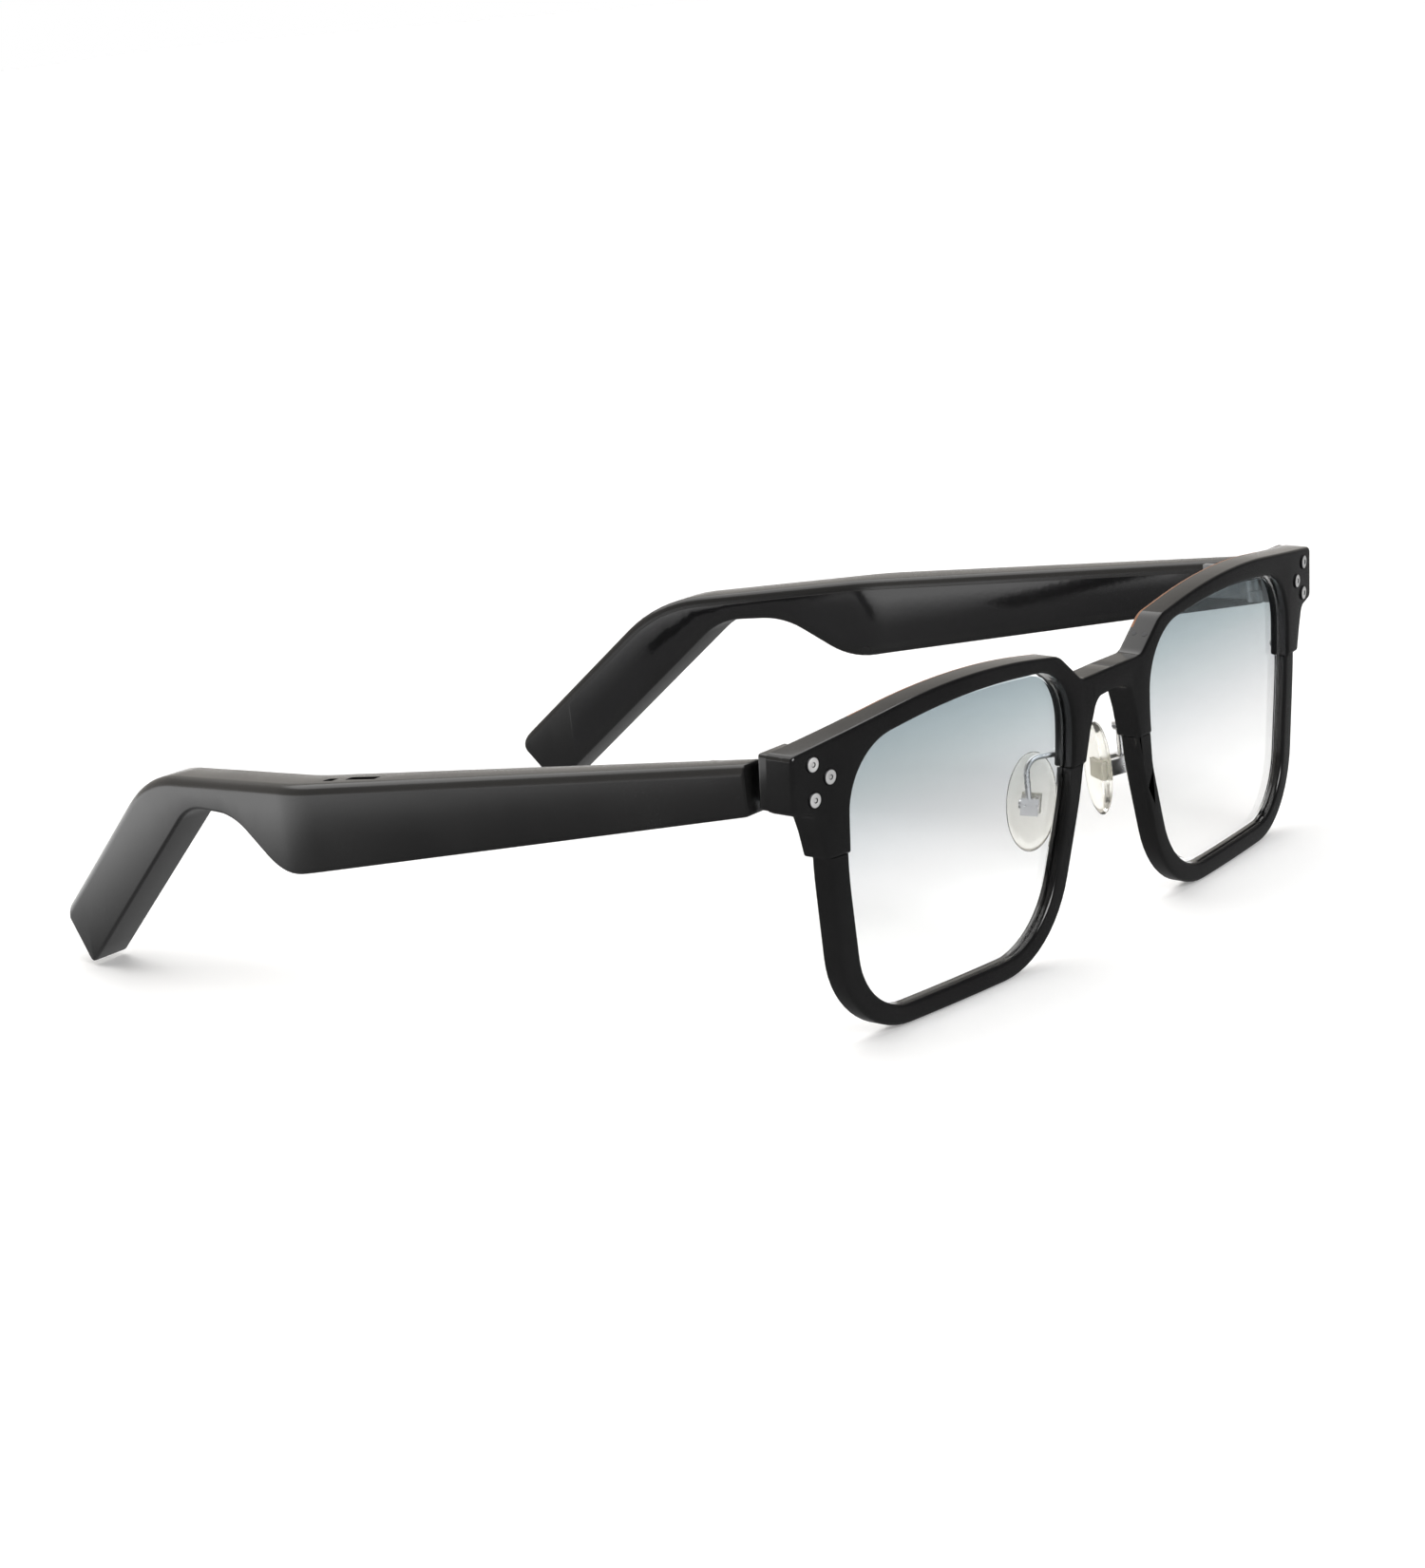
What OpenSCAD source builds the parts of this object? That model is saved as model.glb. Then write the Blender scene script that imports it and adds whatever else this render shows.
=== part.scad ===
// Smart glasses: a browline front with a thick upper bar and two slim lower rims, clear
// graduated lenses, metal pad arms, and two hollow folding arms that hold the audio parts.
// +Z is up, +X is the wearer's left, the front faces -Y and the arms run back to +Y.

/* [Front] */
// Tilt of the front from upright, its top leaning forward
tilt = 4.5; // [0:0.5:8]
// Radius of the wrap of the front around the face
wrap_r = 416; // [300:1:600]
// Thickness of the brow bar from front to back
brow_t = 4.2; // [3.8:0.1:5]
// Thickness of the lower rims from front to back
rim_t = 3.2; // [3:0.1:3.6]
// How far the front of the lower rims sits behind the brow
rim_set = 0.4; // [0.2:0.1:0.6]
// Height at which the brow ends and the lower rims start
brow_low = 27.6; // [26:0.1:30]
// Thickness of each lens
lens_t = 1.4; // [1.2:0.1:1.5]
// How far the lens edge reaches into the groove around the opening
groove = 0.9; // [0.6:0.1:1.2]

/* [Arms] */
// Distance from the middle of the glasses to the outside of an arm at its widest
arm_wide_x = 78.5; // [76:0.1:80]
// Thickness of an arm at its front end
arm_t_front = 4.5; // [4.4:0.1:5]
// Thickness of an arm at its deepest part
arm_t_mid = 8.1; // [7.6:0.1:9]
// Thickness of an arm at its tip
arm_t_tip = 7.2; // [6.8:0.1:8]
// Wall of the outer shell of an arm
arm_wall = 1.1; // [1:0.1:1.2]
// Thickness of the inner cover of an arm
cover_t = 1; // [0.8:0.1:1.2]

/* [Hinges] */
// Distance from the middle of the glasses to a hinge screw
hinge_x = 66; // [65.8:0.1:66.2]
// Distance from the datum of the front back to a hinge screw
hinge_y = 12.3; // [12.2:0.1:12.5]
// Radius of the hinge knuckles
knuckle_r = 1.6; // [1.5:0.05:1.65]
// Radius of the hinge screw
screw_r = 0.6; // [0.5:0.05:0.7]

/* [Nose pads] */
// Length of a nose pad
pad_l = 15; // [13:0.5:16]
// Width of a nose pad
pad_w = 7.4; // [6.5:0.1:8]
// Thickness of a nose pad
pad_t = 2.4; // [2:0.1:2.8]
// Turn of a pad from straight back, its rear edge towards the cheek
pad_splay = 28; // [20:1:35]
// Lean of a pad, its lower end outward
pad_lean = 7; // [4:1:12]

/* [Hidden] */

// Everything is drawn from the datum of the front, then moved so that the box is centred
centre_y = 79.04;
datum_y = 1.6;
arm_y0 = 12.7;
arm_kink_y = 91;
arm_end_y = 165;
arm_x0 = 71.3;
arm_x_end = 60.3;
round_fn = 48;
gap = 0.05;

// Outlines of the left half of the front, corners as [x, z, radius], anticlockwise
EYE = [[18.9, 2.9, 14], [58.8, 2.9, 10.5], [61.4, 25, 60], [61.3, 41.6, 10],
  [37, 44.9, 120], [11, 42.9, 9.5], [10.9, 26.5, 40]];
RIM = [[16.4, 0, 17], [62.4, 0, 14], [65.2, 26, 60], [65.2, 46, 8],
  [7.2, 46, 8], [7.4, 26.5, 40]];
BROW = [[-1, 36.9, 0], [4.3, 36.6, 2.5], [6.3, 32, 6], [7.6, 27.6, 0], [30, 27.6, 0],
  [66, 27.6, 0.3], [67, 31.3, 4], [68.1, 34.3, 1.5], [72.2, 35.1, 0.8], [72.2, 43.3, 0.8],
  [36, 48.1, 120], [14.2, 45, 4.5], [8.3, 40.3, 3], [-1, 40.4, 0]];
// Side view of an arm, corners as [y, z, radius]
ARM = [[arm_y0, 35.1, 0.6], [95.3, 22.7, 12], [107.3, 30.4, 13], [119.4, 30.2, 11],
  [154.4, 0.15, 1.4], [160.9, 8.3, 3], [131.2, 33.9, 24], [arm_y0, 42.3, 0.8]];
ARM_LOW_SLOPE = atan2(22.7 - 35.1, 95.3 - arm_y0);
RIVETS = [[68.5, 41.6], [65.3, 39.2], [68.3, 36.6]];

// ---- Outlines with rounded corners ----

function unit(v) = v / norm(v);
function flat(c) = [c[0], c[1]];

// One corner: its sharp point, or an arc of its radius that touches both edges
function corner_arc(a, b, c) =
  let (p = flat(b), u = unit(flat(a) - p), w = unit(flat(c) - p), r = b[2])
  r <= 0 ? [p] :
  let (half = acos(u * w) / 2, reach = r / tan(half), mid = p + unit(u + w) * r / sin(half),
    s = p + u * reach - mid, e = p + w * reach - mid,
    from = atan2(s[1], s[0]), turn = (atan2(e[1], e[0]) - from + 540) % 360 - 180,
    steps = max(1, ceil(abs(turn) / 9), ceil(abs(turn) * r / 160)))
  [for (i = [0:steps]) mid + r * [cos(from + turn * i / steps), sin(from + turn * i / steps)]];

function rounded(c) = let (n = len(c))
  [for (i = [0:n - 1]) each corner_arc(c[(i + n - 1) % n], c[i], c[(i + 1) % n])];

// The same outline with every edge moved outward by d
function grown(c, d) = let (n = len(c)) [for (i = [0:n - 1])
  let (p = flat(c[i]), u = unit(p - flat(c[(i + n - 1) % n])),
    w = unit(flat(c[(i + 1) % n]) - p), nu = [u[1], -u[0]], nw = [w[1], -w[0]],
    q = p + (nu + nw) * d / (1 + nu * nw), side = u[0] * w[1] - u[1] * w[0] > 0 ? 1 : -1)
  [q[0], q[1], max(0, c[i][2] + side * d)]];

// ---- Placing ----

module placed() { translate([0, -centre_y, 0]) children(); }
module on_front() { placed() translate([0, datum_y, 0]) rotate([tilt, 0, 0]) children(); }
module on_side(side) { if (side < 0) mirror([1, 0, 0]) children(); else children(); }

// An outline in x and z, pushed through along y
module front_slab(points) {
  translate([0, 24, 0]) rotate([90, 0, 0]) linear_extrude(28) polygon(points);
}

// The curved layer from depth d0 to depth d1 behind the front surface
module wrap_layer(d0, d1) {
  intersection() {
    translate([-1, -6, -6]) cube([77, 34, 64]);
    translate([0, wrap_r, -6]) difference() {
      cylinder(h = 64, r = wrap_r - d0, $fn = 360);
      translate([0, 0, -1]) cylinder(h = 66, r = wrap_r - d1, $fn = 360);
    }
  }
}
module layer_of(points, d0, d1) {
  intersection() { front_slab(points); wrap_layer(d0, d1); }
}
function wrap_y(x) = wrap_r - sqrt(wrap_r * wrap_r - x * x);

// ---- Front ----

// Pegs at the two ends of a lower rim, which go up into the brow
PEGS = [9.3, 63.4];
peg_h = 5;
peg_depth = rim_set + rim_t / 2;
module pegs(extra) {
  for (x = PEGS) translate([x, wrap_y(x) + peg_depth, brow_low - 2])
    cylinder(h = peg_h + extra, r = 0.8 + extra, $fn = round_fn);
}

// The lens starts this far behind the front surface
lens_d0 = 1.6;
lens_d1 = lens_d0 + lens_t;
module lens_groove() { layer_of(rounded(grown(EYE, groove + gap)), lens_d0 - gap, lens_d1 + gap); }

// A hole for a small screw from the back through the outer peg
module rim_screw_hole() {
  translate([PEGS[1], wrap_y(PEGS[1]) + 1.6, brow_low + 1.6])
    rotate([-90, 0, 0]) cylinder(h = 8, r = 0.4, $fn = round_fn);
}

// The end of the brow runs back towards the arm, with a step for the front leaf of the hinge
module end_block() {
  difference() {
    translate([62.2, 5, 35.2]) cube([9.8, 7.2, 8]);
    translate([61.2, 7.2, 34]) cube([hinge_x - 0.2 - 61.2, 6, 10]);
  }
}
module brow_half() {
  difference() {
    union() {
      layer_of(rounded(BROW), 0, brow_t);
      end_block();
    }
    front_slab(rounded(EYE));
    lens_groove();
    pegs(gap);
    rim_screw_hole();
    for (p = RIVETS) rivet_at(p) {
      cylinder(h = rivet_l + gap, r = 0.7, $fn = round_fn);
      translate([0, 0, -2]) cylinder(h = 2.3, r = 1.3, $fn = round_fn);
    }
    for (d = PIN_DEPTHS) brow_pin_at(d) translate([0, 0, -pin_l])
      cylinder(h = pin_l + 1, r = 0.43, $fn = round_fn);
  }
}
module brow_bar() {
  color("#151516") difference() {
    on_front() for (side = [-1, 1]) on_side(side) brow_half();
    for (side = [-1, 1]) at_hinge(side)
      cylinder(h = 14, r = knuckle_r + 0.25, center = true, $fn = round_fn);
  }
}

module rim(side) {
  color("#1a1a1b") on_front() on_side(side) {
    difference() {
      union() {
        intersection() {
          union() {
            layer_of(rounded(RIM), rim_set, rim_set + rim_t * 0.6);
            layer_of(rounded(grown(RIM, -0.7)), rim_set + rim_t * 0.6, rim_set + rim_t);
          }
          translate([-2, -8, -4]) cube([80, 30, brow_low + 4 - gap]);
        }
        pegs(0);
      }
      front_slab(rounded(EYE));
      lens_groove();
      rim_screw_hole();
    }
  }
}
module rim_right() { rim(-1); }
module rim_left() { rim(1); }

module lens(side) {
  color([0.72, 0.8, 0.84, 0.35]) on_front() on_side(side)
    layer_of(rounded(grown(EYE, groove)), lens_d0, lens_d1);
}
module lens_right() { lens(-1); }
module lens_left() { lens(1); }

// Round silver heads on shanks that go back into the hinge block
rivet_l = 3.8;
module rivet_at(p) { translate([p[0], wrap_y(p[0]), p[1]]) rotate([-90, 0, 0]) children(); }
module rivets(side) {
  color("silver") on_front() on_side(side) for (p = RIVETS) rivet_at(p) {
    translate([0, 0, -0.2]) cylinder(h = 0.5, r = 1.25, $fn = round_fn);
    cylinder(h = rivet_l, r = 0.68, $fn = round_fn);
  }
}
module rivets_right() { rivets(-1); }
module rivets_left() { rivets(1); }

// Small pins set square into the sloping shoulder beside the bridge
SHOULDER = atan2(45 - 40.3, 14.2 - 8.3);
PIN_DEPTHS = [1.2, 3];
pin_l = 1.5;
module brow_pin_at(d) {
  translate([11.2, wrap_y(11.2) + d, 42.6]) rotate([0, -SHOULDER, 0]) children();
}
module brow_pins() {
  color("silver") on_front() for (side = [-1, 1]) on_side(side) for (d = PIN_DEPTHS)
    brow_pin_at(d) translate([0, 0, -pin_l]) cylinder(h = pin_l + 0.05, r = 0.4, $fn = round_fn);
}

// Two screws from the back, one through the outer peg of each lower rim
module rim_screws() {
  color("silver") on_front() for (side = [-1, 1]) on_side(side)
    translate([PEGS[1], wrap_y(PEGS[1]) + 1.8, brow_low + 1.6]) rotate([-90, 0, 0]) {
      cylinder(h = brow_t - 1.6, r = 0.36, $fn = round_fn);
      translate([0, 0, brow_t - 1.6]) cylinder(h = 0.3, r = 0.75, $fn = round_fn);
    }
}

// ---- Nose pads ----

// Middle of a pad, from the datum of the front, and the screw on its outer side
PAD = [9.9, 8.9, 21.9];
lug_off = 2.4;
box_size = 2.6;
pad_screw_r = 0.35;
module pad_frame() {
  placed() translate(PAD) rotate([6, -pad_lean, 0]) rotate([0, 0, -pad_splay]) children();
}
// The same place turned so that the pad's small screw lies along z
module screw_frame() { pad_frame() rotate([90, 0, 0]) children(); }

// The wire leaves the back of the brow, bends down and ends in the box beside the pad
WIRE_FOOT = [8.9, 3.72, 29.3];
WIRE_END = [13.6, 6.94, 22.3];
wire_r = 0.45;
wire_bend = 2.2;
// The wire starts this far along its run, inside the round foot that stands on the brow
wire_start = 0.7;
foot_r = 0.9;
wire_run = norm([WIRE_END[0] - WIRE_FOOT[0], WIRE_END[1] - WIRE_FOOT[1]]);
wire_turn = atan2(WIRE_END[0] - WIRE_FOOT[0], WIRE_END[1] - WIRE_FOOT[1]);
wire_drop = WIRE_FOOT[2] - WIRE_END[2];
module pad_wire() {
  translate(WIRE_FOOT) rotate([0, 0, -wire_turn]) {
    translate([0, wire_start, 0]) rotate([-90, 0, 0])
      cylinder(h = wire_run - wire_bend - wire_start, r = wire_r, $fn = round_fn);
    translate([0, wire_run - wire_bend, -wire_bend]) rotate([0, -90, 0])
      rotate_extrude(angle = 90, $fn = 96) translate([wire_bend, 0]) circle(r = wire_r, $fn = 32);
    translate([0, wire_run, -wire_drop])
      cylinder(h = wire_drop - wire_bend, r = wire_r, $fn = round_fn);
  }
  translate(WIRE_FOOT) rotate([-90, 0, 0]) cylinder(h = foot_r, r = foot_r, $fn = round_fn);
}
module pad_arm(side) {
  color("silver") on_side(side) {
    placed() pad_wire();
    screw_frame() difference() {
      translate([pad_t / 2 + 0.5, -box_size / 2, -box_size / 2]) cube([3, box_size, box_size]);
      translate([pad_t / 2, -box_size, -0.65]) cube([2.5, 2 * box_size, 1.3]);
      translate([lug_off, 0, -4]) cylinder(h = 4.9, r = pad_screw_r + gap, $fn = 32);
    }
  }
}
module pad_arm_right() { pad_arm(-1); }
module pad_arm_left() { pad_arm(1); }

module pad_screw(side) {
  color("silver") on_side(side) screw_frame() translate([lug_off, 0, -box_size / 2]) {
    cylinder(h = box_size / 2 + 0.9, r = pad_screw_r, $fn = 32);
    translate([0, 0, -0.4]) cylinder(h = 0.4, r = 0.7, $fn = 32);
  }
}
module pad_screw_right() { pad_screw(-1); }
module pad_screw_left() { pad_screw(1); }

// The soft pad: an oval, flat behind and rounded towards the nose
module nose_pad(side) {
  color([0.93, 0.92, 0.86, 0.6]) on_side(side) pad_frame() difference() {
    hull() for (layer = [[-pad_t / 2, 0.72], [-pad_t / 4, 0.93], [pad_t / 8, 1], [pad_t / 2, 0.88]])
      translate([layer[0], 0, 0]) rotate([0, 90, 0]) scale([pad_l / pad_w, 1, 1])
        cylinder(h = 0.05, r = pad_w / 2 * layer[1], $fn = 32);
    translate([pad_t / 2 - 1, -1.5, -1.5]) cube([2, 3, 3]);
  }
}
module nose_pad_right() { nose_pad(-1); }
module nose_pad_left() { nose_pad(1); }

// The hard insert that the pad is moulded on, with the lug that the screw holds
module pad_insert(side) {
  color("#e8e6dc") on_side(side) screw_frame() difference() {
    union() {
      translate([pad_t / 2 - 1, -1.45, -1.45]) cube([0.95, 2.9, 2.9]);
      translate([pad_t / 2 - 0.5, -0.8, -0.55]) cube([lug_off - pad_t / 2 + 0.5, 1.6, 1.1]);
      translate([lug_off, 0, 0]) cylinder(h = 1.1, r = 0.8, center = true, $fn = 32);
    }
    translate([lug_off, 0, 0]) cylinder(h = 4, r = pad_screw_r + gap, center = true, $fn = 32);
  }
}
module pad_insert_right() { pad_insert(-1); }
module pad_insert_left() { pad_insert(1); }

// ---- Hinges ----

hinge_z = 38.7;
leaf_h = 5.4;
mid_h = 1.7;
slot_h = 1.9;
module at_hinge(side) { on_side(side) placed() translate([hinge_x, hinge_y, hinge_z]) children(); }
module screw_bore() { cylinder(h = 20, r = screw_r + gap, center = true, $fn = round_fn); }

// Front leaf: a plate on the inner side of the end block, with two outer knuckles
module hinge_front(side) {
  color("#8f9094") at_hinge(side) difference() {
    union() {
      cylinder(h = leaf_h, r = knuckle_r, center = true, $fn = round_fn);
      translate([-1.15, -4, -leaf_h / 2]) cube([0.95, 4, leaf_h]);
    }
    cylinder(h = slot_h, r = knuckle_r + 0.3, center = true, $fn = round_fn);
    screw_bore();
  }
}
module hinge_front_right() { hinge_front(-1); }
module hinge_front_left() { hinge_front(1); }

// Rear leaf: a middle knuckle on a plate let into the inner face of the arm
module hinge_rear(side) {
  color("#8f9094") at_hinge(side) difference() {
    union() {
      cylinder(h = mid_h, r = knuckle_r, center = true, $fn = round_fn);
      translate([0, 0, -mid_h / 2]) cube([2.4, 3.4, mid_h]);
      translate([1.2, 2.4, -leaf_h / 2]) cube([1.2, 7, leaf_h]);
    }
    screw_bore();
  }
}
module hinge_rear_right() { hinge_rear(-1); }
module hinge_rear_left() { hinge_rear(1); }

module hinge_screw(side) {
  color("silver") at_hinge(side) {
    cylinder(h = leaf_h, r = screw_r, center = true, $fn = round_fn);
    difference() {
      translate([0, 0, leaf_h / 2]) cylinder(h = 0.5, r = 1.1, $fn = round_fn);
      translate([-2, -0.15, leaf_h / 2 + 0.25]) cube([4, 0.3, 1]);
    }
  }
}
module hinge_screw_right() { hinge_screw(-1); }
module hinge_screw_left() { hinge_screw(1); }

// ---- Arms ----

// Outside and inside of an arm seen from above, with a soft bend at its widest part
function bent(p) = [flat(p[0]), each corner_arc(p[0], p[1], p[2]), flat(p[2])];
function arm_out(d) = bent([[arm_x0 + 1 - d, arm_y0 - 1], [arm_wide_x - d, arm_kink_y, 30 - d],
  [arm_x_end - d, arm_end_y]]);
function arm_in(d) = bent([[arm_x0 + 1 - arm_t_front + d, arm_y0 - 1],
  [arm_wide_x - arm_t_mid + d, arm_kink_y, 22 + d], [arm_x_end - arm_t_tip + d, arm_end_y]]);
// The x of the outer and inner faces at a distance y back along the arm
function arm_out_x(y) = lookup(y, [for (p = arm_out(0)) [p[1], p[0]]]);
function arm_in_x(y) = lookup(y, [for (p = arm_in(0)) [p[1], p[0]]]);
function reversed(v) = [for (i = [len(v) - 1:-1:0]) v[i]];

// The side view of the arm drawn in by some inset, pushed through along x
module arm_side(inset) {
  translate([40, 0, 0]) rotate([90, 0, 90]) linear_extrude(50)
    polygon(rounded(grown(ARM, -inset)));
}
// The part of the arm inside that side view, between two plan curves and two stations
module arm_piece(inset, outer, inner, y0 = 0, y1 = 170) {
  placed() intersection() {
    arm_side(inset);
    translate([0, 0, -5]) linear_extrude(60) polygon(concat(outer, reversed(inner)));
    translate([40, y0, -10]) cube([50, y1 - y0, 70]);
  }
}
// The same for a block that stands a distance in from the arm's outer face
module arm_block(inset, outer_d, t, y0, y1) {
  arm_piece(inset, arm_out(outer_d), arm_out(outer_d + t), y0, y1);
}

lip = 1.3;
seat = 0.9;
cover_y0 = 24.5;
cover_y1 = 150;

// Slots cut down through the top of the right arm, each as its start and length
TOP_SLOTS = [[77.2, 5.8], [85, 2]];
module top_slots() {
  placed() for (s = TOP_SLOTS) translate([arm_out_x(s[0]) - 3.7, s[0], 34]) cube([1, s[1], 8]);
}
// Sound port under the deepest part of the arm
port_y = 86;
module sound_port() {
  placed() translate([arm_out_x(port_y) - 5.4, port_y, 20]) cube([2.6, 7, 8]);
}
module arm_shell(side) {
  color("#141415") on_side(side) difference() {
    union() {
      difference() {
        arm_piece(0, arm_out(0), arm_in(0));
        arm_piece(lip, arm_out(arm_wall), arm_in(cover_t), cover_y0 + 1, cover_y1 - 1);
        arm_piece(seat, arm_in(cover_t), arm_in(-1), cover_y0, cover_y1);
      }
      for (s = COVER_SCREWS) cover_screw_at(s)
        translate([-2.8, -1.2, cover_t + gap]) cube([4, 2.4, 2]);
    }
    placed() translate([hinge_x + 1.15, arm_y0 - 1, hinge_z - leaf_h / 2 - gap])
      cube([1.25, 10.8, leaf_h + 2 * gap]);
    if (side < 0) top_slots();
    sound_port();
    at_contacts() translate([0, 0, -1]) cylinder(h = 2.2, r = contact_r + 0.02, $fn = round_fn);
    for (s = COVER_SCREWS) cover_screw_at(s) cylinder(h = 6, r = 0.38, center = true, $fn = 32);
  }
}
module arm_shell_right() { arm_shell(-1); }
module arm_shell_left() { arm_shell(1); }

// The cover over the inside of the arm, held by two tiny screws in posts under the top wall
COVER_SCREWS = [[36.2, 36.8], [100.4, 32.9]];
module cover_screw_at(s) {
  placed() translate([arm_in_x(s[0]), s[0], s[1]]) rotate([0, 90, 0]) children();
}
module arm_cover(side) {
  color("#101011") on_side(side) difference() {
    arm_piece(seat + gap, arm_in(cover_t), arm_in(0), cover_y0 + gap, cover_y1 - gap);
    for (s = COVER_SCREWS) cover_screw_at(s) cylinder(h = 8, r = 0.42, center = true, $fn = 32);
  }
}
module arm_cover_right() { arm_cover(-1); }
module arm_cover_left() { arm_cover(1); }
module cover_screws(side) {
  color("#333335") on_side(side) for (s = COVER_SCREWS) cover_screw_at(s)
    translate([0, 0, 0.25]) cylinder(h = 2.4, r = 0.36, $fn = 32);
}
module cover_screws_right() { cover_screws(-1); }
module cover_screws_left() { cover_screws(1); }

// Pouch cell in the thick rear end of the arm
module battery(side) { color("#c9ccd1") on_side(side) arm_block(2, arm_wall, 4, 126, 147); }
module battery_right() { battery(-1); }
module battery_left() { battery(1); }

// Flat lead from the battery through the neck to the back of the board
lead_d = 1.3;
lead_t = 0.35;
module battery_lead(side) {
  color("#b3332b") on_side(side) arm_block(2.1, lead_d, lead_t, 78, 126);
}
module battery_lead_right() { battery_lead(-1); }
module battery_lead_left() { battery_lead(1); }

// Circuit board with its chips on the inner side, each as its start, length and height
board_d = 2.1;
CHIPS = [[46, 5, 33.2], [55, 7, 32.2], [66, 6, 31.2], [74, 3, 31]];
module circuit_board(side) {
  color("#1f6b3a") on_side(side) {
    arm_block(lip, board_d, 0.8, 40, 80);
    placed() for (c = CHIPS)
      translate([arm_out_x(c[0]) - board_d - 1.8, c[0], c[2]]) cube([1.5, c[1], 4]);
  }
}
module circuit_board_right() { circuit_board(-1); }
module circuit_board_left() { circuit_board(1); }

// Closed speaker module in the deepest part of the arm
module speaker(side) {
  color("#2b2b2e") on_side(side) placed() translate([arm_out_x(90) - 3.7, 89.6, 30.2]) {
    difference() {
      translate([-2.4, -5, -4.2]) cube([3.5, 10, 8.2]);
      translate([-3, 0, 0]) rotate([0, 90, 0]) cylinder(h = 1, r = 3.1, $fn = round_fn);
    }
    translate([-2.4, 0, 0]) rotate([0, 90, 0]) cylinder(h = 0.6, r = 2.4, $fn = round_fn);
  }
}
module speaker_right() { speaker(-1); }
module speaker_left() { speaker(1); }

// Woven grille in the sound port under the arm
module speaker_grille(side) {
  color("#3a3a3d") on_side(side) placed() difference() {
    intersection() {
      translate([arm_out_x(port_y) - 5.4, port_y, 22]) cube([2.6, 7, 4]);
      arm_side(0.3);
    }
    arm_side(0.9);
  }
}
module speaker_grille_right() { speaker_grille(-1); }
module speaker_grille_left() { speaker_grille(1); }

// Mesh behind the long slot on top of the right arm
module vent_mesh_right() {
  color("#2c2a28") mirror([1, 0, 0]) placed()
    translate([arm_out_x(TOP_SLOTS[0][0]) - 3.7, TOP_SLOTS[0][0], 36.6])
      cube([1, TOP_SLOTS[0][1], 0.3]);
}

// Microphone can on the top wall
module microphone(side) {
  color("#b8a05a") on_side(side) placed()
    translate([arm_out_x(84) - 4.6, 84.4, 34.55]) cube([2.4, 3.2, 1.1]);
}
module microphone_right() { microphone(-1); }
module microphone_left() { microphone(1); }

// Thin touch pad behind the outer wall
module touch_sensor(side) {
  color("#c98a3a") on_side(side) arm_block(2.2, arm_wall, 0.3, 46, 77.5);
}
module touch_sensor_right() { touch_sensor(-1); }
module touch_sensor_left() { touch_sensor(1); }

// Gold charging contacts, flush with the underside near the front of the arm
contact_y = 32;
contact_z = 35.1 + (contact_y - arm_y0) * tan(ARM_LOW_SLOPE);
contact_r = 0.9;
module at_contacts() {
  placed() translate([arm_out_x(contact_y) - 2.8, contact_y, contact_z])
    rotate([ARM_LOW_SLOPE, 0, 0]) for (y = [-2.4, 2.4]) translate([0, y, 0]) children();
}
module charge_contacts(side) {
  color("#d8b45a") on_side(side) at_contacts() cylinder(h = 1.2, r = contact_r, $fn = round_fn);
}
module charge_contacts_right() { charge_contacts(-1); }
module charge_contacts_left() { charge_contacts(1); }

brow_bar();
rim_right();
rim_left();
lens_right();
lens_left();
rivets_right();
rivets_left();
brow_pins();
rim_screws();
pad_arm_right();
pad_arm_left();
pad_screw_right();
pad_screw_left();
nose_pad_right();
nose_pad_left();
pad_insert_right();
pad_insert_left();
hinge_front_right();
hinge_front_left();
hinge_screw_right();
hinge_screw_left();
hinge_rear_right();
hinge_rear_left();
arm_shell_right();
arm_shell_left();
arm_cover_right();
arm_cover_left();
cover_screws_right();
cover_screws_left();
battery_right();
battery_left();
circuit_board_right();
circuit_board_left();
speaker_right();
speaker_left();
speaker_grille_right();
speaker_grille_left();
vent_mesh_right();
microphone_right();
microphone_left();
touch_sensor_right();
touch_sensor_left();
battery_lead_right();
battery_lead_left();
charge_contacts_right();
charge_contacts_left();
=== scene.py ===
"""Smart glasses: polished black browline front, two slim lower rims, graduated lenses, metal
pad arms with clear pads, and two thick hollow folding arms. Metres, in the frame's own axes."""
import math

import bpy
from mathutils import Matrix, Vector


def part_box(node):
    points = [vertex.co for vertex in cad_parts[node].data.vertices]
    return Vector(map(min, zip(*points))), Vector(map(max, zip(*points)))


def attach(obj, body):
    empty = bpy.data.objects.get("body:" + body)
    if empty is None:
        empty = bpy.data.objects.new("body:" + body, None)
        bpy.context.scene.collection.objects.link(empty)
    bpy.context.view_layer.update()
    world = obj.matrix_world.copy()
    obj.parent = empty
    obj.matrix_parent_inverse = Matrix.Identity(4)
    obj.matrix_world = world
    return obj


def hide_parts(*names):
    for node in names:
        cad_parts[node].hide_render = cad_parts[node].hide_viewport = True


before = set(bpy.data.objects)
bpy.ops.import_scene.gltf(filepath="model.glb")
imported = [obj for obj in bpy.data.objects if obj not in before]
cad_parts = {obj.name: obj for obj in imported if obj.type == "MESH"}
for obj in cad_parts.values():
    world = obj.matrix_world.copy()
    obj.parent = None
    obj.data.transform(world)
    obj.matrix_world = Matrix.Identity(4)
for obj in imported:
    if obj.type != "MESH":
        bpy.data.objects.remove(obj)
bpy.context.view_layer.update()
MM = 0.001

# ---- Brow bar ----
# The thick upper half of the front, milled from black acetate: two brows and the bridge in one
# piece, with an end block on each side that runs back to the hinge. It is cut flat, softened
# along its edges, bent to the face and tilted, and a painted warm reflection, a brown band, lies
# along the back of its top.

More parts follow.
